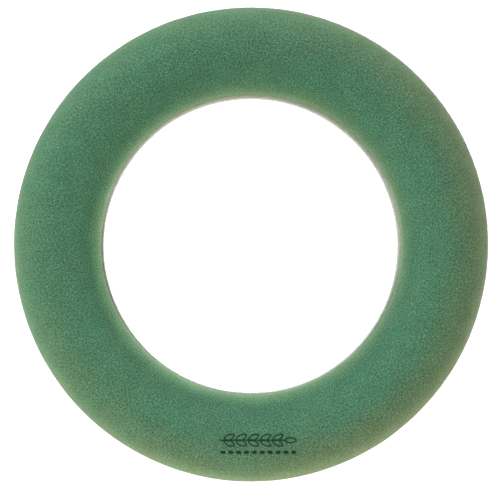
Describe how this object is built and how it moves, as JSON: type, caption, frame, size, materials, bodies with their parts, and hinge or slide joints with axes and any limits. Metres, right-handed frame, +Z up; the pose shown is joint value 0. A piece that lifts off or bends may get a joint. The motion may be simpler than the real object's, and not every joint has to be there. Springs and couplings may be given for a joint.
{
  "type": "floral foam ring",
  "caption": "Half-round ring of green wet floral foam bonded to a flat off-white polystyrene base ring, with an open centre for a candle or vase.",
  "frame": {"origin": "centre of the open hole, in the plane of the base's flat underside", "axes": "+Z up along the ring's axis, from the base towards the foam's crown; -Y towards the pressed mark"},
  "size_m": [0.3024, 0.3024, 0.047],
  "materials": {
    "floral_foam": "matte",
    "polystyrene": "satin",
    "adhesive": "satin"
  },
  "bodies": {
    "root": {"foam_ring": "floral_foam", "base_ring": "polystyrene", "glue_bead_outer": "adhesive", "glue_bead_inner": "adhesive"}
  },
  "joints": []
}
